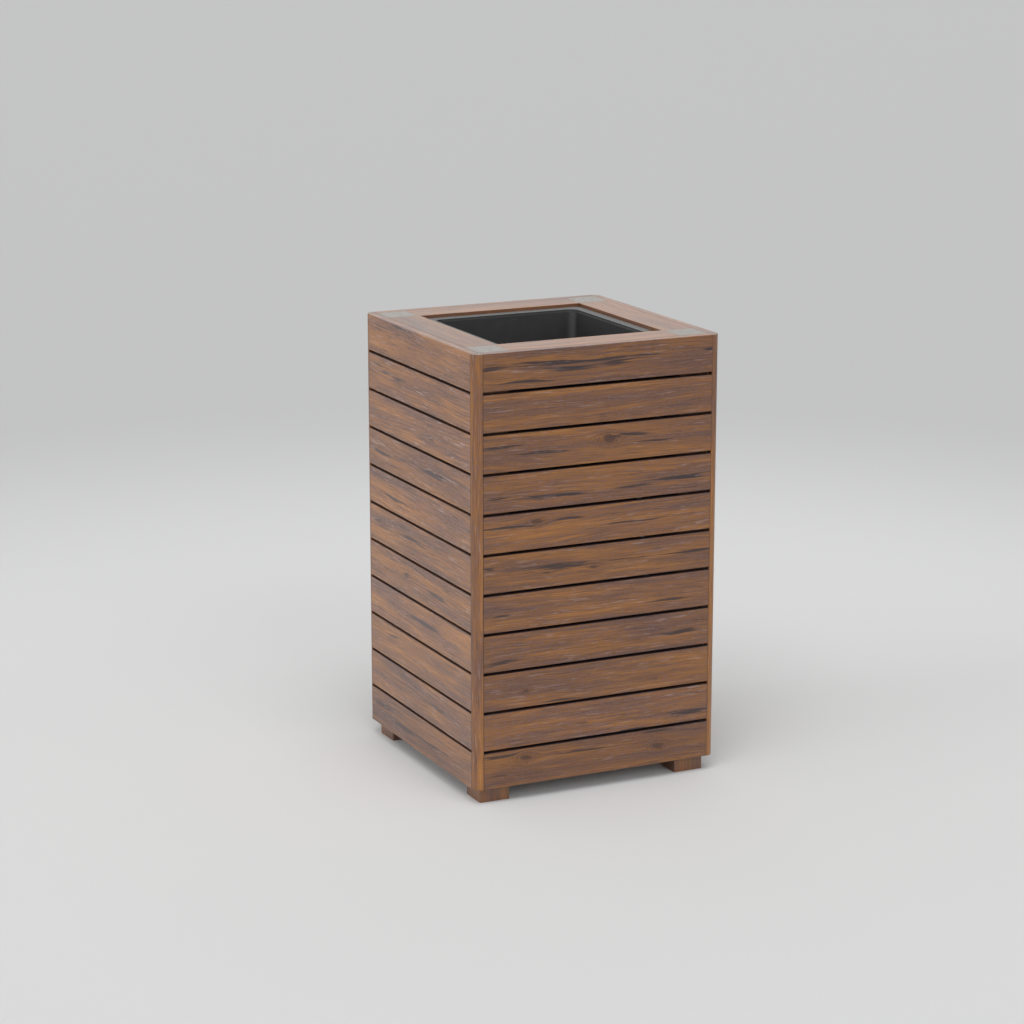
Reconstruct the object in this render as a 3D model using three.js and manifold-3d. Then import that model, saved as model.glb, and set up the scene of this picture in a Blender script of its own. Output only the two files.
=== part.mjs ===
// Square litter bin: a hardwood frame of four posts, clad with horizontal slats on every side,
// with a lift-out liner that hangs by its flange in a rebate of the top rails.
// Millimetres, +Z up. The origin is on the ground at the centre of the footprint.
// Front is -Y, back is +Y, left is -X and right is +X.

import * as THREE from 'three';
import { mergeVertices } from 'three/addons/utils/BufferGeometryUtils.js';
import Module from 'manifold-3d';

const wasm = await Module();
wasm.setup();

// Overall
const bodyWidth = 505;
const footHeight = 30;

// Side slats; the quarter-round beads at the corners have the slats' thickness as radius
const slatRows = 11;
const slatHeight = 70;
const slatThickness = 17;
const slatGap = 5;
const slatEase = 1;

// Posts
const postSide = 60;
const postEase = 1;

// Top rails: the lap past the posts' inner faces, and the rebate that carries the liner
const railHeight = 42;
const railLap = 4;
const rebateWidth = 12;

// Base bearers and the panel on top of them
const bearerWidth = 28;
const bearerHeight = 45;
const bearerLift = 5;
const panelThickness = 15;

// Liner
const linerWall = 3;
const linerRecess = 6;
const linerTaper = 15;
const linerFloorClearance = 16;
const flangeClearance = 1.5;
const flangeCornerRadius = 13;
const neckClearance = 4.5;
const neckDrop = 4;
const neckStep = 3;
const neckCornerRadius = 18;

// Hairline left between fixed neighbours, and steps around each quarter circle
const jointGap = 0.3;
const arcSteps = 8;

// Levels
const slatPitch = slatHeight + slatGap;
const topLevel = footHeight + slatRows * slatHeight + (slatRows - 1) * slatGap;
const flangeTop = topLevel - linerRecess;
const ledgeTop = flangeTop - linerWall - jointGap;
const bearerBottom = footHeight + bearerLift;
const panelBottom = bearerBottom + bearerHeight + jointGap;
const linerBottom = panelBottom + panelThickness + linerFloorClearance;

// Distances from the centre line to each face
const halfWidth = bodyWidth / 2;
const slatEnd = halfWidth - slatThickness - jointGap;
const postOuter = slatEnd;
const postInner = postOuter - postSide;
const railInner = postInner - railLap;
const ledgeInner = railInner - rebateWidth;
const flangeOuter = railInner - flangeClearance;
const neckOuter = ledgeInner - neckClearance;
const neckInner = neckOuter - linerWall;
const wallTopInner = neckInner - neckStep;
const wallBottomInner = wallTopInner - linerTaper;

// In turn anticlockwise, each a quarter turn after the one before
const sideNames = ['front', 'right', 'back', 'left'];
const cornerNames = ['front_right', 'back_right', 'back_left', 'front_left'];

// Materials

function wood(color) {
  return new THREE.MeshStandardMaterial({ color, roughness: 0.62, metalness: 0 });
}

const slatWood = () => wood(0x86644f);
const beadWood = () => wood(0x8a674c);
const postWood = () => wood(0x7f5e4a);
const railWood = () => wood(0xa08a7c);
const baseWood = () => wood(0x6f5442);
const linerPlastic = () => new THREE.MeshStandardMaterial({ color: 0x3c3c3c, roughness: 0.45, metalness: 0 });

// Geometry helpers

function piece(name, geometry, material) {
  const mesh = new THREE.Mesh(geometry, material);
  mesh.name = name;
  return mesh;
}

function polygon(points) {
  return new THREE.Shape(points.map(([x, y]) => new THREE.Vector2(x, y)));
}

function extrude(shape, length) {
  return new THREE.ExtrudeGeometry(shape, { depth: length, bevelEnabled: false, curveSegments: arcSteps });
}

// Rectangle around the origin with its four corners cut at 45 degrees.
function easedRectangle(width, height, ease) {
  const x = width / 2;
  const y = height / 2;
  return polygon([
    [-x + ease, -y],
    [x - ease, -y],
    [x, -y + ease],
    [x, y - ease],
    [x - ease, y],
    [-x + ease, y],
    [-x, y - ease],
    [-x, -y + ease],
  ]);
}

// A board lying along X, centred on the origin, with its long edges eased.
function boardAlongX(length, depth, height, ease) {
  const board = extrude(easedRectangle(height, depth, ease), length);
  board.translate(0, 0, -length / 2);
  board.rotateY(Math.PI / 2);
  return board;
}

function toManifold(geometry) {
  const bare = geometry.clone();
  bare.deleteAttribute('normal');
  bare.deleteAttribute('uv');
  const merged = mergeVertices(bare);
  return new wasm.Manifold(new wasm.Mesh({
    numProp: 3,
    vertProperties: new Float32Array(merged.attributes.position.array),
    triVerts: new Uint32Array(merged.index.array),
  }));
}

function joined(first, second) {
  const mesh = toManifold(first).add(toManifold(second)).getMesh();
  const geometry = new THREE.BufferGeometry();
  geometry.setAttribute('position', new THREE.BufferAttribute(mesh.vertProperties, 3));
  geometry.setIndex(new THREE.BufferAttribute(mesh.triVerts, 1));
  geometry.computeVertexNormals();
  return geometry;
}

// Square ring of points with round corners, anticlockwise.
function roundedSquare(half, radius) {
  const ring = [];
  for (let corner = 0; corner < 4; corner += 1) {
    const start = corner * Math.PI / 2;
    const centreX = (half - radius) * (corner === 0 || corner === 3 ? 1 : -1);
    const centreY = (half - radius) * (corner < 2 ? 1 : -1);
    for (let step = 0; step <= arcSteps; step += 1) {
      const angle = start + (step / arcSteps) * Math.PI / 2;
      ring.push([centreX + radius * Math.cos(angle), centreY + radius * Math.sin(angle)]);
    }
  }
  return ring;
}

// Closed skin through a list of { half, radius, z } sections, capped flat at both ends.
function loft(sections) {
  const rings = sections.map(({ half, radius }) => roundedSquare(half, radius));
  const count = rings[0].length;
  const positions = rings.flatMap((ring, level) => ring.flatMap(([x, y]) => [x, y, sections[level].z]));
  const index = [];
  for (let level = 0; level + 1 < rings.length; level += 1) {
    for (let i = 0; i < count; i += 1) {
      const a = level * count + i;
      const b = level * count + (i + 1) % count;
      index.push(a, b, b + count, a, b + count, a + count);
    }
  }
  const firstCentre = rings.length * count;
  const lastCentre = firstCentre + 1;
  const lastRing = (rings.length - 1) * count;
  positions.push(0, 0, sections[0].z, 0, 0, sections[sections.length - 1].z);
  for (let i = 0; i < count; i += 1) {
    const next = (i + 1) % count;
    index.push(firstCentre, next, i);
    index.push(lastCentre, lastRing + i, lastRing + next);
  }
  const geometry = new THREE.BufferGeometry();
  geometry.setAttribute('position', new THREE.Float32BufferAttribute(positions, 3));
  geometry.setIndex(index);
  geometry.computeVertexNormals();
  return geometry;
}

// Slats

function slat(name, row) {
  const mesh = piece(name, boardAlongX(2 * slatEnd, slatThickness, slatHeight, slatEase), slatWood());
  mesh.position.y = -halfWidth + slatThickness / 2;
  mesh.position.z = topLevel - slatHeight / 2 - row * slatPitch;
  return mesh;
}

// Top rail: it fills the width between two posts, and laps past them to a mitre at each end.
// Below the rebate the lap reaches further in, as the ledge that the liner's flange rests on.

function railPlan(inner) {
  const end = postInner - jointGap;
  const mitreCut = jointGap / Math.SQRT2;
  return polygon([
    [-end, -postOuter],
    [end, -postOuter],
    [end, -end - mitreCut],
    [inner - mitreCut, -inner],
    [-inner + mitreCut, -inner],
    [-end, -end - mitreCut],
  ]);
}

function topRail(name) {
  const rebateDepth = topLevel - ledgeTop;
  const ledge = extrude(railPlan(ledgeInner), railHeight - rebateDepth);
  const lip = extrude(railPlan(railInner), rebateDepth);
  lip.translate(0, 0, railHeight - rebateDepth);
  const mesh = piece(name, joined(ledge, lip), railWood());
  mesh.position.z = topLevel - railHeight;
  return mesh;
}

// Corners

function post(name) {
  const mesh = piece(name, extrude(easedRectangle(postSide, postSide, postEase), topLevel), postWood());
  mesh.position.set(postOuter - postSide / 2, -postOuter + postSide / 2, 0);
  return mesh;
}

function cornerBead(name) {
  const section = new THREE.Shape();
  section.moveTo(0, 0);
  section.lineTo(0, -slatThickness);
  section.absarc(0, 0, slatThickness, -Math.PI / 2, 0, false);
  section.closePath();
  const mesh = piece(name, extrude(section, topLevel - footHeight), beadWood());
  mesh.position.set(halfWidth - slatThickness, -halfWidth + slatThickness, footHeight);
  return mesh;
}

// Base

function baseBearer(name) {
  const length = 2 * (postInner - jointGap);
  const mesh = piece(name, boardAlongX(length, bearerWidth, bearerHeight, slatEase), baseWood());
  mesh.position.y = -postOuter + bearerWidth / 2;
  mesh.position.z = bearerBottom + bearerHeight / 2;
  return mesh;
}

function basePanel() {
  const notch = postInner - jointGap;
  const plan = polygon([
    [-notch, -postOuter],
    [notch, -postOuter],
    [notch, -notch],
    [postOuter, -notch],
    [postOuter, notch],
    [notch, notch],
    [notch, postOuter],
    [-notch, postOuter],
    [-notch, notch],
    [-postOuter, notch],
    [-postOuter, -notch],
    [-notch, -notch],
  ]);
  const mesh = piece('base_panel', extrude(plan, panelThickness), baseWood());
  mesh.position.z = panelBottom;
  return mesh;
}

// Liner: from the middle of the underside, up the outside, over the flange and down the inside

function liner() {
  const stepLevel = flangeTop - neckDrop;
  const innerRadius = neckCornerRadius;
  const outerRadius = neckCornerRadius + linerWall;
  const skin = loft([
    { half: wallBottomInner + linerWall, radius: outerRadius, z: linerBottom },
    { half: wallTopInner + linerWall, radius: outerRadius, z: stepLevel - linerWall },
    { half: neckOuter, radius: outerRadius, z: stepLevel - linerWall },
    { half: neckOuter, radius: outerRadius, z: flangeTop - linerWall },
    { half: flangeOuter, radius: flangeCornerRadius, z: flangeTop - linerWall },
    { half: flangeOuter, radius: flangeCornerRadius, z: flangeTop },
    { half: neckInner, radius: innerRadius, z: flangeTop },
    { half: neckInner, radius: innerRadius, z: stepLevel },
    { half: wallTopInner, radius: innerRadius, z: stepLevel },
    { half: wallBottomInner, radius: innerRadius, z: linerBottom + linerWall },
  ]);
  return piece('liner', skin, linerPlastic());
}

// Assembly

const litterBin = new THREE.Group();

sideNames.forEach((side, turn) => {
  const group = new THREE.Group();
  group.rotation.z = turn * Math.PI / 2;
  for (let row = 0; row < slatRows; row += 1) {
    group.add(slat(`${side}_slat_${String(row + 1).padStart(2, '0')}`, row));
  }
  group.add(topRail(`top_rail_${side}`));
  if (side === 'left' || side === 'right') {
    group.add(baseBearer(`base_bearer_${side}`));
  }
  group.add(post(`post_${cornerNames[turn]}`));
  group.add(cornerBead(`corner_bead_${cornerNames[turn]}`));
  litterBin.add(group);
});

litterBin.add(basePanel());
litterBin.add(liner());

export default litterBin;
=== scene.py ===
"""Looks of the square litter bin: hardwood boards on four posts, and a dark liner that lifts out."""

import math
import random

import bmesh
import bpy
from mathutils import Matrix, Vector


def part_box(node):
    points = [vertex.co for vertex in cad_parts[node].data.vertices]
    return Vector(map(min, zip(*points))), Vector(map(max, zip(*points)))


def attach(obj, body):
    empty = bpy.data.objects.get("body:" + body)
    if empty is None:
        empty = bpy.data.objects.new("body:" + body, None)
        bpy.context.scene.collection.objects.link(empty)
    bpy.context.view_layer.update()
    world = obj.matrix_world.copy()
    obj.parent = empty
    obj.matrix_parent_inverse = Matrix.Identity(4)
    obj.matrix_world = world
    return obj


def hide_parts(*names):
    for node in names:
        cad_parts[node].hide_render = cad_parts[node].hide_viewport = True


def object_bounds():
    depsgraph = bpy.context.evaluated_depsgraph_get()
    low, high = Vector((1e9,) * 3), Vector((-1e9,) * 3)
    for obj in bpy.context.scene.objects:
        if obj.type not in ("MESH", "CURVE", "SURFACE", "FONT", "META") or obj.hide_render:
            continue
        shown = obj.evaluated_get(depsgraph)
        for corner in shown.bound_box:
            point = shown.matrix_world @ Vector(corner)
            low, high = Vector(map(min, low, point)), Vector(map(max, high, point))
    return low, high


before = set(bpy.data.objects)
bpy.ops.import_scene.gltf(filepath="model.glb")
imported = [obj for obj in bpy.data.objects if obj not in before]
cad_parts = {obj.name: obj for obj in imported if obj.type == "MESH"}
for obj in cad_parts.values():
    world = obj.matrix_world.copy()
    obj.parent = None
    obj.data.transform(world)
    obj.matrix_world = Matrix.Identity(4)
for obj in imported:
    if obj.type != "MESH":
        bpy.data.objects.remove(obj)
cad_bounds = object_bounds()

# Sizes that the frame gives, in metres

SIDES = ("front", "right", "back", "left")
CORNERS = {"front_left": (-1, -1), "front_right": (1, -1), "back_right": (1, 1), "back_left": (-1, 1)}
slat_rows = sum(name.startswith("front_slat_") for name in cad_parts)
slat_low, slat_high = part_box("front_slat_01")
top_level = slat_high.z
slat_height = slat_high.z - slat_low.z
slat_pitch = top_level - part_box("front_slat_02")[1].z
slat_thickness = slat_high.y - slat_low.y
slat_end = slat_high.x
half_width = -slat_low.y
slat_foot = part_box(f"front_slat_{slat_rows:02d}")[0].z
liner_low, liner_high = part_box("liner")


def slat_middle(row):
    """Height of the middle of a row of slats. Row 1 is the top one."""
    return top_level - slat_height / 2 - (row - 1) * slat_pitch


# Shader building

# The noise node's own scale is 5, so a mark is a fifth of a unit long
NOISE_SCALE = 5.0


class Value:
    """A shader socket that can be used in sums as a number can."""

    def __init__(self, finish, socket):
        self.finish = finish
        self.socket = socket

    def __add__(self, other):
        return self.finish.maths("ADD", self, other)

    def __sub__(self, other):
        return self.finish.maths("SUBTRACT", self, other)

    def __rsub__(self, other):
        return self.finish.maths("SUBTRACT", other, self)

    def __mul__(self, other):
        return self.finish.maths("MULTIPLY", self, other)

    __radd__ = __add__
    __rmul__ = __mul__


class Finish:
    """The nodes of one material, or of the studio's light."""

    def __init__(self, owner):
        self.owner = owner
        owner.use_nodes = True
        self.tree = owner.node_tree
        self.tree.nodes.clear()

    def node(self, kind, settings, sockets, output=0):
        """Adds a node, with its settings first and then the values or links of its sockets."""
        added = self.tree.nodes.new(kind)
        for setting, value in settings.items():
            setattr(added, setting, value)
        for name, value in sockets.items():
            if isinstance(value, Value):
                self.tree.links.new(value.socket, added.inputs[name])
            else:
                added.inputs[name].default_value = value
        return Value(self, added.outputs[output]) if added.outputs else None

    def maths(self, operation, *values):
        return self.node("ShaderNodeMath", {"operation": operation}, dict(enumerate(values)))

    def rise(self, value, low, high):
        """0 below low and 1 above high, with a smooth rise between. With low above high it falls."""
        sockets = {"Value": value, "From Min": low, "From Max": high}
        return self.node("ShaderNodeMapRange", {"interpolation_type": "SMOOTHSTEP"}, sockets)

    def mix(self, share, first, second):
        """The first colour, with a share of the second in it."""
        return self.node("ShaderNodeMix", {"data_type": "RGBA"}, {0: share, 6: first, 7: second}, 2)

    def scaled(self, vector, factor):
        """A colour or vector times one number, or times three."""
        if isinstance(factor, tuple):
            return self.node("ShaderNodeVectorMath", {"operation": "MULTIPLY"}, {0: vector, 1: factor})
        return self.node("ShaderNodeVectorMath", {"operation": "SCALE"}, {0: vector, "Scale": factor})

    def vector(self, x, y, z):
        return self.node("ShaderNodeCombineXYZ", {}, {"X": x, "Y": y, "Z": z})

    def split(self, vector):
        """The three numbers of a vector or colour."""
        first = self.node("ShaderNodeSeparateXYZ", {}, {"Vector": vector})
        outputs = first.socket.node.outputs
        return first, Value(self, outputs["Y"]), Value(self, outputs["Z"])

    def place(self):
        """Where a point is, in metres, in the bin's own frame."""
        return self.node("ShaderNodeTexCoord", {}, {}, "Object")

    def noise(self, place, detail=2.0, roughness=0.5):
        sockets = {"Vector": place, "Detail": detail, "Roughness": roughness}
        return self.node("ShaderNodeTexNoise", {}, sockets)

    def grain(self, place, length, width, detail=2.0, roughness=0.5):
        """Noise around a half, in marks of that length along the grain and that width across it."""
        lengthwise = 1 / (length * NOISE_SCALE)
        crosswise = 1 / (width * NOISE_SCALE)
        return self.noise(self.scaled(place, (lengthwise, crosswise, crosswise)), detail, roughness)

    def length(self, vector):
        return self.node("ShaderNodeVectorMath", {"operation": "LENGTH"}, {0: vector}, "Value")

    def surface(self, colour, roughness, height, relief):
        """The finished surface. Height is 0 to 1, and relief is how deep that is, in metres."""
        bump = self.node("ShaderNodeBump", {}, {"Height": height, "Distance": relief, "Strength": 1.0})
        sockets = {"Base Color": colour, "Roughness": roughness, "Normal": bump}
        principled = self.node("ShaderNodeBsdfPrincipled", {}, sockets)
        self.node("ShaderNodeOutputMaterial", {}, {"Surface": principled})
        return self.owner


def new_finish(name):
    return Finish(bpy.data.materials.new(name))


# Wood colours, as shares of red, green and blue light sent back

HONEY = (0.350, 0.155, 0.045, 1)
GOLDEN = (0.262, 0.108, 0.032, 1)
# Russet: the colour of the painted shade on the rails' sides
RUSSET_SHADE = (0.205, 0.082, 0.038, 1)
# Umber: the colour of knot rings, of the darker bottom board and feet, and of the painted shade at the
# boards' ends
UMBER_AND_SHADE = (0.085, 0.038, 0.024, 1)
PLUM_GREY = (0.172, 0.092, 0.073, 1)
# Ink: the colour of dark streaks and dashes in the grain, and of the painted shade in the gaps between
# boards
INK_AND_SHADE = (0.020, 0.017, 0.024, 1)
# Silver: the colour of pale flecks in the grain, and of the painted sheen on upper faces and on the
# paler sides
SILVER_AND_SHEEN = (0.360, 0.260, 0.235, 1)
KNOT_BROWN = (0.060, 0.028, 0.020, 1)
END_GREY = (0.375, 0.345, 0.305, 1)
END_BROWN = (0.175, 0.150, 0.122, 1)

# Strength of the painted highlight on the upper face of the rails and slats of each side, and of the
# painted shade on the rails' sides
RAIL_TOP_HIGHLIGHT = {"front": 1.75, "right": 1.55, "back": 1.50, "left": 1.30}
SLAT_TOP_HIGHLIGHT = {"front": 1.55, "right": 1.10, "back": 1.55, "left": 1.10}
RAIL_SIDE_SHADE = 0.80

# The sides whose boards are painted paler, as light falling on them, with a painted sheen, and how much
# more their marks differ
LIT_SIDES = ("left", "right")
LIT_SIDE_CONTRAST = 1.7

# Numbers that give each board its own cut of the log, and how far apart the cuts may be, in metres
BOARDS_PER_SIDE = 20
FIRST_BEAD = 100
FIRST_POST = 120
FIRST_RAIL = 140
BASE_BOARD = 180
LOG_LENGTH = 9
LOG_DEPTH = 5
LOG_WIDTH = 7

# Where a finish on an eased edge starts and where it is full, in metres from the face
EASE_START = 0.0010
EASE_FULL = 0.0003

# How deep the grain is, in metres
SLAT_RELIEF = 0.0003
FRAME_RELIEF = 0.00025
PLASTIC_RELIEF = 0.00005

# Liner colours

LINER_DARK = (0.024, 0.024, 0.024, 1)
LINER_GREY = (0.028, 0.028, 0.028, 1)
# Pale grey of the faint scratches, and of the painted highlights on the rim and corners
LINER_SCUFF_AND_HIGHLIGHT = (0.230, 0.230, 0.228, 1)

# Dark mineral streaks and knots in the slats of each side, in millimetres: the row, the place along
# the board from its middle, the height above the board's middle, and half the length and height

MM = 0.001
STREAKS = {
    "front": [
        (1, -105, 9, 64, 4.5), (1, 10, 9, 46, 4), (1, 90, 9, 30, 2.5), (1, 230, 9, 12, 3),
        (1, -215, 6, 26, 4.5), (1, -60, -4, 44, 3), (1, -145, -22, 44, 2.5), (1, 40, 0, 36, 4),
        (3, -200, 12, 40, 3), (3, -130, -5, 56, 2), (3, 110, -4, 34, 2), (3, 60, 12, 46, 2.5),
        (4, -205, -10, 24, 3), (4, -95, -14, 60, 3), (4, 170, -4, 52, 4), (4, 65, -10, 38, 2.5),
        (5, -195, 11, 48, 3), (5, 70, -4, 50, 2), (5, -60, 16, 30, 2),
        (6, -85, 1, 52, 5), (6, -225, 10, 16, 2.5), (6, 190, 2, 42, 4), (6, 55, 3, 50, 2),
        (7, 150, -13, 52, 3.5), (7, -200, -6, 20, 2), (8, -205, -19, 34, 4), (8, 175, -4, 36, 3.5),
        (9, -75, -29, 26, 2), (10, 80, -31, 36, 2), (10, 195, -15, 32, 3),
        (11, -200, 25, 32, 2.5), (11, -30, 15, 36, 2.5), (11, 125, 30, 28, 2.5), (11, -205, -12, 24, 2),
    ],
    "left": [
        (1, 75, 29, 40, 2.5), (2, 95, 6, 34, 3.5), (2, 155, 11, 36, 3.5), (2, 190, 18, 26, 2.5),
        (4, 180, -2, 40, 4), (4, 70, 3, 40, 3), (4, -70, 2, 60, 4), (5, 130, -8, 60, 3.5),
        (6, 40, 6, 60, 4.5), (6, 200, 8, 24, 4), (7, -90, -4, 50, 4), (8, -40, 4, 56, 4),
        (9, 120, 14, 40, 3), (10, -80, 2, 60, 4), (11, 190, 8, 40, 5), (11, 90, -6, 60, 4.5),
        (11, -60, -2, 70, 2.5),
    ],
}
KNOTS = {
    "front": [
        (3, 20, 8, 20, 10), (5, -130, 17, 18, 6), (6, -10, -7, 10, 5), (9, -150, -4, 8, 4),
        (11, -150, 17, 16, 9), (11, 130, 1, 16, 9),
    ],
    "left": [(3, -60, -6, 14, 6), (7, 60, 4, 14, 7)],
}


def chance_marks(side, count, half_length, half_height):
    """Marks for a side that has no list of its own, in the same places at each run."""
    dice = random.Random(side)
    marks = []
    for _ in range(count):
        row = dice.randint(1, slat_rows)
        along = dice.uniform(-210, 210)
        height = dice.uniform(-24, 24)
        size = dice.uniform(0.6, 1.3)
        marks.append((row, along, height, half_length * size, half_height * size))
    return marks


def distance_from(finish, place, mark):
    """How far a point is from a mark's middle, with 1 at the mark's edge."""
    row, along, height, half_length, half_height = mark
    stretch = (1 / (half_length * MM), 0.0, 1 / (half_height * MM))
    middle = (-along * MM * stretch[0], 0.0, -(slat_middle(row) + height * MM) * stretch[2])
    sockets = {0: place, 1: stretch, 2: middle}
    return finish.length(finish.node("ShaderNodeVectorMath", {"operation": "MULTIPLY_ADD"}, sockets))


def around_knots(finish, along, across, flow, knots):
    """The grain's flow bent round the knots, how much of a knot a point is in, and its rings."""
    knotty = 0.0
    swirl = 0.0
    plain = finish.vector(along, 0.0, across)
    for knot in knots:
        away = distance_from(finish, plain, knot)
        height = slat_middle(knot[0]) + knot[2] * MM
        flow = flow - (across - height) * finish.rise(away, 3.0, 0.2) * 0.8
        away = away + (finish.grain(plain, 0.016, 0.006) - 0.5) * 1.4
        rings = finish.maths("SINE", away * 13.0) * 0.5 + 0.5
        knotty = finish.rise(away, 1.1, 0.25) + knotty
        swirl = finish.rise(away, 2.5, 0.7) * rings + swirl
    return flow, knotty, swirl


def hardwood(finish, along, deep, across, board, streaks=(), knots=(), warm=0.58, contrast=1.0):
    """Colour, roughness and height of a board, from where a point is on it and the board's number.

    Warm says how golden the board is, and contrast how much its light and dark marks differ.
    """
    luck = finish.node("ShaderNodeTexWhiteNoise", {"noise_dimensions": "1D"}, {"W": board}, "Color")
    first, second, third = finish.split(luck)
    slope = (first - 0.5) * 0.05
    flow, knotty, swirl = around_knots(finish, along, across, across + along * slope, knots)
    log_along = along + first * LOG_LENGTH
    log_deep = deep + second * LOG_DEPTH
    start = finish.vector(log_along, log_deep, flow + third * LOG_WIDTH)
    wander = (finish.grain(start, 0.16, 0.050, 2) - 0.5) * 0.012
    cut = finish.vector(log_along, log_deep, flow + wander + third * LOG_WIDTH)
    broad = finish.grain(cut, 0.34, 0.030, 3) - 0.5
    cloud = finish.grain(cut, 0.22, 0.0075, 4, 0.55) - 0.5
    fibre = finish.grain(cut, 0.18, 0.0030, 2, 0.6) - 0.5
    thread = finish.grain(cut, 0.070, 0.0016, 2, 0.6) - 0.5
    speck = finish.grain(cut, 0.007, 0.0022, 0) - 0.5
    dash = finish.grain(cut, 0.046, 0.0024, 2, 0.6) - 0.5
    patch = finish.grain(cut, 0.14, 0.020)
    ragged = finish.grain(cut, 0.050, 0.0040, 3, 0.7) - 0.5
    warmth = warm - broad * 2.4 - cloud * 1.2 - fibre * 1.3 - thread * 1.7 + speck * 1.5
    light = 0.88 - (broad * 0.46 + cloud * 0.24 + fibre * 0.34 + thread * 0.8 + speck * 0.5) * contrast
    colour = finish.mix(warmth, PLUM_GREY, GOLDEN)
    colour = finish.mix(finish.rise(warmth, 0.75, 1.15) * 0.5, colour, HONEY)
    colour = finish.scaled(colour, light)
    inky = finish.rise(cloud + ragged * 0.5, 0.20, 0.34) * 0.8
    traced = finish.vector(along, 0.0, across + wander)
    torn = ragged - fibre * 2.4 - thread * 2.6 - cloud * 1.2
    for streak in streaks:
        inky = inky + finish.rise(distance_from(finish, traced, streak) + torn, 1.30, 0.60) * 0.8
    colour = finish.mix(finish.maths("MINIMUM", inky, 0.85), colour, INK_AND_SHADE)
    if knots:
        colour = finish.mix(finish.maths("MINIMUM", swirl * 0.55, 0.6), colour, UMBER_AND_SHADE)
        colour = finish.mix(finish.maths("MINIMUM", knotty * 0.75, 0.8), colour, KNOT_BROWN)
    dark_dash = finish.rise(dash, -0.13, -0.20) * finish.rise(patch, 0.62, 0.42)
    colour = finish.mix(dark_dash * (0.50 * contrast), colour, INK_AND_SHADE)
    silvery = finish.rise(dash, 0.10, 0.18) * finish.rise(patch, 0.34, 0.58)
    colour = finish.mix(silvery * (0.48 * contrast), colour, SILVER_AND_SHEEN)
    colour = finish.scaled(colour, second * 0.14 + 0.91)
    roughness = fibre * 0.18 + 0.33
    grooves = finish.rise(fibre, -0.05, 0.25) * 0.3 + finish.rise(thread, 0.0, 0.25) * 0.3
    return colour, roughness, 0.6 - grooves + silvery * 0.2


def paint_top_highlight(finish, z, colour, sides, top):
    """A colour with one strength on the sides of a piece, and a painted highlight on its upper face:
    paler, with a painted reflection mixed in.
    """
    upper = finish.rise(z, top_level - EASE_START, top_level - EASE_FULL)
    # Painted reflection: the upper face paler and greyed towards silver, as the light's sheen on it
    greyed = finish.mix(0.18, finish.scaled(colour, top), SILVER_AND_SHEEN)
    return finish.mix(upper, finish.scaled(colour, sides), greyed)


def slat_wood(side):
    """Boards of one side, with the grain along them."""
    finish = new_finish(f"slat_wood_{side}")
    x, y, z = finish.split(finish.place())
    along, deep = (x, y) if side in ("front", "back") else (y, x)
    row = finish.maths("FLOOR", (top_level + 0.5 * (slat_pitch - slat_height) - z) * (1 / slat_pitch))
    board = row + BOARDS_PER_SIDE * SIDES.index(side)
    streaks = STREAKS.get(side) or chance_marks(side, 18, 44, 3.2)
    knots = KNOTS.get(side) or chance_marks(side + "_knots", 4, 15, 8)
    lit_side = side in LIT_SIDES
    contrast = LIT_SIDE_CONTRAST if lit_side else 1.0
    colour, roughness, height = hardwood(
        finish, along, deep, z, board, streaks, knots, contrast=contrast)
    if lit_side:
        # Painted light: these boards paler, more so towards the top, and a painted sheen of silver
        colour = finish.scaled(colour, finish.rise(z, slat_foot, top_level) * 0.18 + 1.17)
        colour = finish.mix(0.12, colour, SILVER_AND_SHEEN)
    # The bottom board darker and browner
    bottom_board_darker = finish.rise(z, slat_foot + slat_pitch, slat_foot + slat_height - 0.005)
    colour = finish.mix(bottom_board_darker * 0.20, colour, UMBER_AND_SHADE)
    # Painted shade in the joint at each board's end, beside the corner beads
    end = finish.rise(finish.maths("ABSOLUTE", along), slat_end - 0.0016, slat_end - 0.0004)
    colour = finish.mix(end * 0.7, colour, UMBER_AND_SHADE)
    # Painted shade in the gaps: both long edges of each board darkened, but not the upper face of the
    # top board
    off_middle = finish.maths("ABSOLUTE", row * slat_pitch + z - slat_middle(1))
    gap_shade = finish.rise(off_middle, slat_height / 2 - EASE_START, slat_height / 2 - EASE_FULL)
    gap_shade = gap_shade * finish.rise(z, top_level - 0.010, top_level - 0.020)
    colour = finish.mix(gap_shade * (0.50 if lit_side else 0.85), colour, INK_AND_SHADE)
    colour = paint_top_highlight(finish, z, colour, 1.0, SLAT_TOP_HIGHLIGHT[side])
    return finish.surface(colour, roughness, height, SLAT_RELIEF)


def corner_number(finish, x, y):
    """A number of its own for each of the four corners."""
    return finish.maths("GREATER_THAN", x, 0.0) + finish.maths("GREATER_THAN", y, 0.0) * 2


def end_grain(finish, x, y, z):
    """Colour of a cut end at the top, and how much of it shows at this height."""
    pores = finish.noise(finish.scaled(finish.vector(x, y, 0.0), (150.0, 150.0, 150.0)), 3, 0.7)
    rays = finish.grain(finish.vector(x, y, 0.0), 0.016, 0.0018, 1)
    colour = finish.mix(finish.rise(pores + (rays - 0.5) * 0.6, 0.38, 0.58), END_BROWN, END_GREY)
    return colour, finish.rise(z, top_level - 0.0012, top_level - 0.0005)


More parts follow.
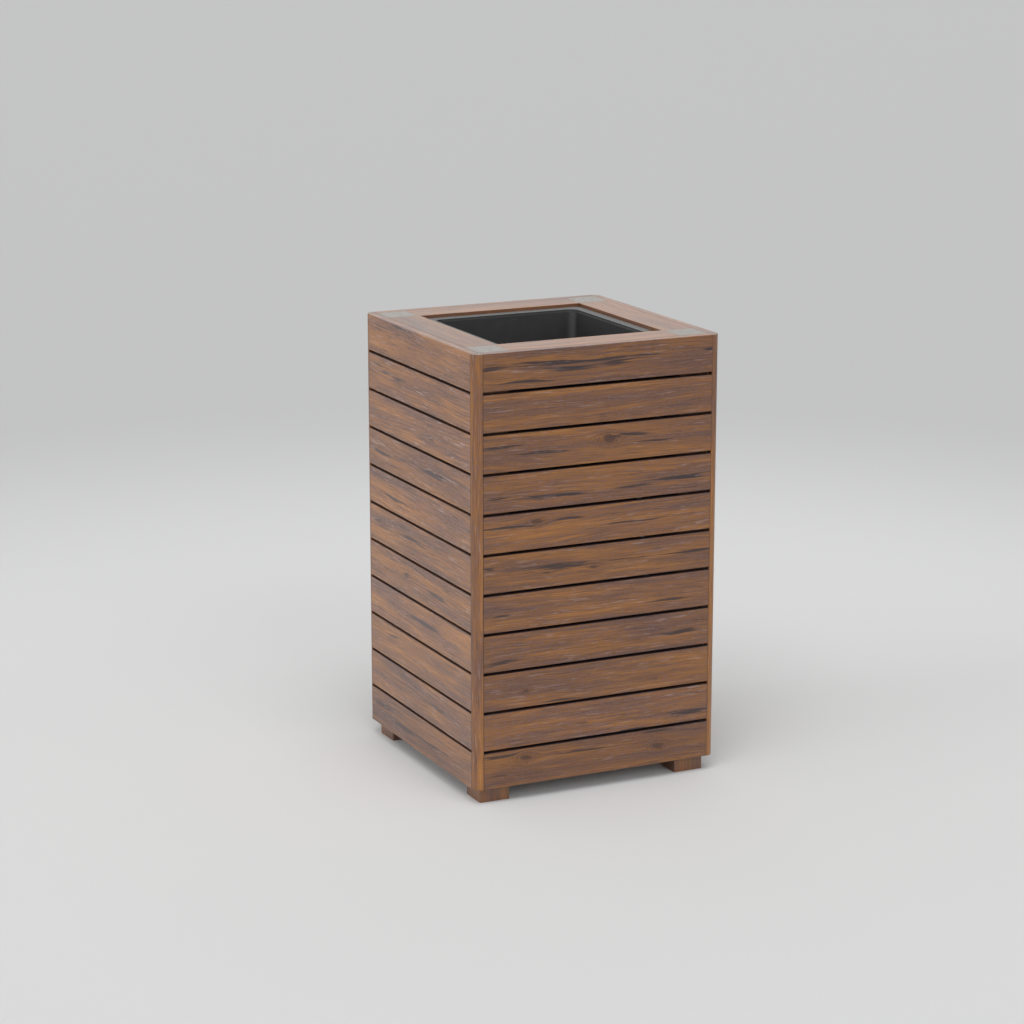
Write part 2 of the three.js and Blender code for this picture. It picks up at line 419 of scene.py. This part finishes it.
def upright_wood(name, first_board, warm, greyed):
    """Posts and corner beads, with the grain upright, feet darker towards the floor and greyed end
    grain on top.
    """
    finish = new_finish(name)
    x, y, z = finish.split(finish.place())
    board = corner_number(finish, x, y) + first_board
    colour, roughness, height = hardwood(finish, z, x, y, board, warm=warm, contrast=0.8)
    feet_darker = finish.rise(z, slat_foot + 0.010, slat_foot - 0.015)
    colour = finish.mix(feet_darker * 0.35, colour, UMBER_AND_SHADE)
    end_colour, end_share = end_grain(finish, x, y, z)
    colour = finish.mix(end_share * greyed, finish.scaled(colour, 1.06), end_colour)
    return finish.surface(colour, roughness, height, FRAME_RELIEF)


def rail_wood(side):
    """A top rail, with a painted highlight on its upper face and painted shade on its sides."""
    finish = new_finish(f"rail_wood_{side}")
    x, y, z = finish.split(finish.place())
    along, across = (x, y) if side in ("front", "back") else (y, x)
    colour, roughness, height = hardwood(finish, along, z, across, FIRST_RAIL + SIDES.index(side))
    # Painted shade on the rails' sides: below the eased top edge they are redder, and darker by the
    # side strength
    below = finish.rise(z, top_level - EASE_FULL, top_level - EASE_START)
    colour = finish.mix(below * 0.55, colour, RUSSET_SHADE)
    colour = paint_top_highlight(finish, z, colour, RAIL_SIDE_SHADE, RAIL_TOP_HIGHLIGHT[side])
    return finish.surface(colour, roughness, height, FRAME_RELIEF)


def base_wood():
    """The bearers and the panel under the liner."""
    finish = new_finish("base_wood")
    x, y, z = finish.split(finish.place())
    colour, roughness, height = hardwood(finish, x, z, y, BASE_BOARD)
    colour = finish.scaled(colour, 0.7)
    return finish.surface(colour, roughness, height, FRAME_RELIEF)


def liner_plastic():
    """Moulded satin plastic with a fine grain and faint pale scratches, with painted highlights along
    its rim and down its corners.
    """
    finish = new_finish("liner_plastic")
    place = finish.place()
    x, y, z = finish.split(place)
    grain = finish.noise(finish.scaled(place, (420.0, 420.0, 420.0)), 2)
    scratch = finish.grain(place, 0.030, 0.004, 3, 0.6)
    cloud = finish.noise(finish.scaled(place, (9.0, 9.0, 9.0)), 3)
    # Painted highlight along the rim's upper edge, broken up by the scratches
    rim = finish.rise(z, liner_high.z - 0.0016, liner_high.z - 0.0006)
    colour = finish.mix(finish.rise(cloud, 0.30, 0.70), LINER_DARK, LINER_GREY)
    colour = finish.mix(finish.rise(scratch, 0.60, 0.74) * 0.06, colour, LINER_SCUFF_AND_HIGHLIGHT)
    colour = finish.mix(rim * (scratch * 0.5 + 0.5), colour, LINER_SCUFF_AND_HIGHLIGHT)
    # Painted highlight down the corners of the walls
    out_x = finish.maths("ABSOLUTE", x)
    out_y = finish.maths("ABSOLUTE", y)
    nearer = finish.maths("MINIMUM", out_x, out_y)
    squareness = finish.maths("DIVIDE", nearer, finish.maths("MAXIMUM", out_x, out_y))
    wall = finish.rise(z, liner_low.z + 0.02, liner_low.z + 0.08)
    wall = wall * finish.rise(z, liner_high.z - 0.0045, liner_high.z - 0.0075)
    corner_highlight = finish.rise(squareness, 0.900, 0.985) * wall
    colour = finish.mix(corner_highlight * (scratch * 0.10 + 0.12), colour, LINER_SCUFF_AND_HIGHLIGHT)
    roughness = cloud * 0.08 + scratch * 0.08 + 0.52
    return finish.surface(colour, roughness, grain, PLASTIC_RELIEF)


# How far sharp edges are rounded, in metres, and the least angle of a sharp edge
SOFT_EDGE = 0.0004
SHARP_ANGLE = math.radians(30)


def paint(piece, material):
    """Gives a piece one material all over."""
    piece.data.materials.clear()
    piece.data.materials.append(material)


def soften(piece):
    """Rounds a piece's sharp edges."""
    bevel = piece.modifiers.new("softened edges", "BEVEL")
    bevel.width = SOFT_EDGE
    bevel.segments = 2
    bevel.limit_method = "ANGLE"
    bevel.angle_limit = SHARP_ANGLE


def dress(piece, material):
    """Gives a wooden piece its material and its softened edges."""
    paint(piece, material)
    soften(piece)


def add_object(name, mesh):
    """Turns a bmesh into an object of the scene."""
    data = bpy.data.meshes.new(name)
    mesh.to_mesh(data)
    mesh.free()
    added = bpy.data.objects.new(name, data)
    bpy.context.scene.collection.objects.link(added)
    return added


# Corner beads

BEAD_STEPS = 20


def make_bead(corner, outwards, material):
    """A quarter-round bead that fills the corner between the ends of the slats."""
    side_x, side_y = outwards
    mesh = bmesh.new()
    centre = half_width - slat_thickness
    section = [(centre, centre)]
    for step in range(BEAD_STEPS + 1):
        angle = step / BEAD_STEPS * math.pi / 2
        out_x = centre + slat_thickness * math.cos(angle)
        out_y = centre + slat_thickness * math.sin(angle)
        section.append((out_x, out_y))
    ring = [mesh.verts.new((x * side_x, y * side_y, slat_foot)) for x, y in section]
    foot = mesh.faces.new(ring)
    raised = bmesh.ops.extrude_face_region(mesh, geom=[foot])["geom"]
    lifted = [part for part in raised if isinstance(part, bmesh.types.BMVert)]
    bmesh.ops.translate(mesh, verts=lifted, vec=(0, 0, top_level - slat_foot))
    bmesh.ops.recalc_face_normals(mesh, faces=mesh.faces)
    for face in mesh.faces:
        face.smooth = True
    piece = add_object(f"quarter_round_{corner}", mesh)
    piece.data.set_sharp_from_angle(angle=SHARP_ANGLE)
    dress(piece, material)
    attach(piece, "housing")
    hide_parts(f"corner_bead_{corner}")


# The liner, in metres: its wall, how far out its parts are from the middle line, and its plan radii

LINER_WALL = 0.003
NECK_OUTER = 0.1547
NECK_INNER = NECK_OUTER - LINER_WALL
WALL_TOP = 0.1487
WALL_BOTTOM = 0.1337
FLOOR_EDGE = 0.1037
NECK_DROP = 0.004
FLANGE_RADIUS = 0.013
NECK_RADIUS = 0.018

# Steps round each corner of the plan and each fillet of the section, and the support beside a fillet
CORNER_STEPS = 14
FILLET_STEPS = 5
FILLET_SUPPORT = 0.0006


def rounded_section(corners):
    """Points of a section. Each corner is (distance out, height, plan radius, fillet)."""
    points = [corners[0][:3]]
    for before, corner, after in zip(corners, corners[1:], corners[2:]):
        here = Vector(corner[:3])
        fillet = corner[3]
        back = (Vector(before[:3]) - here).to_2d().normalized()
        ahead = (Vector(after[:3]) - here).to_2d().normalized()
        half_angle = back.angle(ahead) / 2
        reach = fillet / math.tan(half_angle)
        centre = here.to_2d() + (back + ahead).normalized() * (fillet / math.sin(half_angle))
        start = here.to_2d() + back * reach
        end = here.to_2d() + ahead * reach
        support = min(FILLET_SUPPORT, reach)
        points.append((*(start + back * support), corner[2]))
        from_centre = start - centre
        turn = 1 if from_centre.cross(end - centre) > 0 else -1
        sweep = turn * (math.pi - 2 * half_angle)
        for step in range(FILLET_STEPS + 1):
            angle = sweep * step / FILLET_STEPS
            cosine = math.cos(angle)
            sine = math.sin(angle)
            spoke = Vector((
                from_centre.x * cosine - from_centre.y * sine,
                from_centre.x * sine + from_centre.y * cosine,
            ))
            points.append((*(centre + spoke), corner[2]))
        points.append((*(end + ahead * support), corner[2]))
    points.append(corners[-1][:3])
    return points


def rounded_square(out, radius):
    """Corner by corner, the plan of a square with round corners."""
    plan = []
    for corner, (side_x, side_y) in enumerate(((1, 1), (-1, 1), (-1, -1), (1, -1))):
        for step in range(CORNER_STEPS + 1):
            angle = (corner + step / CORNER_STEPS) * math.pi / 2
            plan.append((
                (out - radius) * side_x + radius * math.cos(angle),
                (out - radius) * side_y + radius * math.sin(angle),
            ))
    return plan


def lofted(name, section):
    """A closed skin through a section of (distance out, height, plan radius), flat at both ends."""
    mesh = bmesh.new()
    rings = []
    for out, height, radius in section:
        rings.append([mesh.verts.new((x, y, height)) for x, y in rounded_square(out, radius)])
    count = len(rings[0])
    for lower, upper in zip(rings, rings[1:]):
        for i in range(count):
            j = (i + 1) % count
            mesh.faces.new((lower[i], lower[j], upper[j], upper[i]))
    mesh.faces.new(reversed(rings[0]))
    mesh.faces.new(rings[-1])
    for face in mesh.faces:
        face.smooth = True
    return add_object(name, mesh)


def make_liner():
    """A tapered bin liner with a round-edged flange and a small step below it."""
    bottom = liner_low.z
    top = liner_high.z
    flange = liner_high.x
    step = top - NECK_DROP
    outer_radius = NECK_RADIUS + LINER_WALL
    section = rounded_section([
        (FLOOR_EDGE, bottom, outer_radius, 0),
        (WALL_BOTTOM + LINER_WALL, bottom, outer_radius, 0.006),
        (WALL_TOP + LINER_WALL, step - LINER_WALL, outer_radius, 0.0007),
        (NECK_OUTER, step - LINER_WALL, outer_radius, 0.0007),
        (NECK_OUTER, top - LINER_WALL, outer_radius, 0.001),
        (flange, top - LINER_WALL, FLANGE_RADIUS, 0.0007),
        (flange, top, FLANGE_RADIUS, 0.0009),
        (NECK_INNER, top, NECK_RADIUS, 0.0012),
        (NECK_INNER, step, NECK_RADIUS, 0.0009),
        (WALL_TOP, step, NECK_RADIUS, 0.0015),
        (WALL_BOTTOM, bottom + LINER_WALL, NECK_RADIUS, 0.009),
        (FLOOR_EDGE, bottom + LINER_WALL, NECK_RADIUS, 0),
    ])
    piece = lofted("lift_out_liner", section)
    paint(piece, liner_plastic())
    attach(piece, "liner")
    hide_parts("liner")


# Studio: a pale floor that turns into the backdrop's tone far out, soft lights and the camera

FLOOR_TONE = (0.765, 0.768, 0.768, 1)
FLOOR_RADIUS = 60.0
BACKDROP_TONE = (0.575, 0.577, 0.578, 1)
BACKDROP_LIGHT = 0.546

# Light from low down: the way it comes from, then its strength and the elevation that it is full from
LOW_GLOW = {
    (0, -1): (1.24, 15),
    (1, 0): (0.70, 15),
    (0, 1): (1.06, 2),
    (-1, 0): (1.20, 15),
}
HIGH_GLOW = 0.02

# Far soft lights: azimuth, elevation and spread in degrees, and strength
LIGHTS = {
    "overhead": (0, 90, 40, 0.09),
    "high_front": (0, 70, 30, 0.15),
    "key": (-45, 58, 30, 0.22),
    "low_left": (-90, 22, 40, 0.14),
    "low_front": (0, 22, 40, 0.13),
}

# The camera: degrees, millimetres of lens, and metres from the bin's middle
CAMERA_AZIMUTH = -25.50
CAMERA_ELEVATION = 13.62
CAMERA_LENS = 100.9
CAMERA_DISTANCE = 5.542
CAMERA_LEFT = 0.0516
CAMERA_UP = 0.0545


def make_floor():
    """A wide floor, paler near the bin."""
    finish = new_finish("studio_floor")
    away = finish.length(finish.place())
    colour = finish.mix(finish.rise(away, 1.3, 3.6), FLOOR_TONE, BACKDROP_TONE)
    surface = finish.node("ShaderNodeBsdfPrincipled", {}, {"Base Color": colour, "Roughness": 0.9})
    finish.node("ShaderNodeOutputMaterial", {}, {"Surface": surface})
    mesh = bmesh.new()
    bmesh.ops.create_circle(mesh, cap_ends=True, segments=64, radius=FLOOR_RADIUS)
    floor = add_object("studio_floor", mesh)
    paint(floor, finish.owner)


def direction(azimuth, elevation):
    """The way to a far point, from degrees. Azimuth 0 is in front of the bin, and 90 on its right."""
    azimuth = math.radians(azimuth)
    elevation = math.radians(elevation)
    return Vector((
        math.sin(azimuth) * math.cos(elevation),
        -math.cos(azimuth) * math.cos(elevation),
        math.sin(elevation),
    ))


def make_light(name, azimuth, elevation, spread, strength):
    data = bpy.data.lights.new(name, "SUN")
    data.angle = math.radians(spread)
    data.energy = strength * math.pi
    light = bpy.data.objects.new(name, data)
    light.rotation_euler = direction(azimuth, elevation).to_track_quat("Z", "Y").to_euler()
    bpy.context.scene.collection.objects.link(light)


def make_camera():
    """A long lens from the front left, a little above the rim."""
    bin_middle = (Vector(cad_bounds[0]) + Vector(cad_bounds[1])) / 2
    right = direction(CAMERA_AZIMUTH + 90, 0)
    back = direction(CAMERA_AZIMUTH, CAMERA_ELEVATION)
    up = back.cross(right)
    data = bpy.data.cameras.new("camera")
    data.sensor_width = 36.0
    data.lens = CAMERA_LENS
    camera = bpy.data.objects.new("camera", data)
    camera.location = bin_middle - right * CAMERA_LEFT + up * CAMERA_UP + back * CAMERA_DISTANCE
    camera.rotation_euler = back.to_track_quat("Z", "Y").to_euler()
    bpy.context.scene.collection.objects.link(camera)
    bpy.context.scene.camera = camera


def make_world():
    """Soft light from all round: a low band, with its own strength on each side, and a faint sky."""
    sky = Finish(bpy.data.worlds.new("studio"))
    x, y, z = sky.split(sky.node("ShaderNodeTexCoord", {}, {}, "Generated"))
    low = sky.rise(z, math.sin(math.radians(55)), math.sin(math.radians(25)))
    glow = (1 - low) * HIGH_GLOW
    for (across, ahead), (strength, full_from) in LOW_GLOW.items():
        facing = sky.maths("MAXIMUM", x * across + y * ahead, 0.0)
        share = sky.maths("DIVIDE", facing * facing, x * x + y * y + 0.0001)
        glow = glow + low * share * sky.rise(z, 0.0, math.sin(math.radians(full_from))) * strength
    seen = sky.node("ShaderNodeLightPath", {}, {}, "Is Camera Ray")
    glow = glow + seen * (BACKDROP_LIGHT - glow)
    background = sky.node("ShaderNodeBackground", {}, {"Color": (1, 1, 1, 1), "Strength": glow})
    sky.node("ShaderNodeOutputWorld", {}, {"Surface": background})
    bpy.context.scene.world = sky.owner


bpy.context.scene.view_settings.view_transform = "Standard"
make_camera()
make_world()
make_floor()
for name, setting in LIGHTS.items():
    make_light(name, *setting)

# The wooden pieces, and the liner

for side in SIDES:
    boards = slat_wood(side)
    for row in range(1, slat_rows + 1):
        dress(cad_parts[f"{side}_slat_{row:02d}"], boards)
    dress(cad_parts[f"top_rail_{side}"], rail_wood(side))

bead_wood = upright_wood("bead_wood", FIRST_BEAD, warm=0.74, greyed=0.55)
post_wood = upright_wood("post_wood", FIRST_POST, warm=0.58, greyed=1.0)
for corner, outwards in CORNERS.items():
    make_bead(corner, outwards, bead_wood)
    dress(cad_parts[f"post_{corner}"], post_wood)

hidden_wood = base_wood()
for name in ("base_bearer_left", "base_bearer_right", "base_panel"):
    dress(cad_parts[name], hidden_wood)

make_liner()
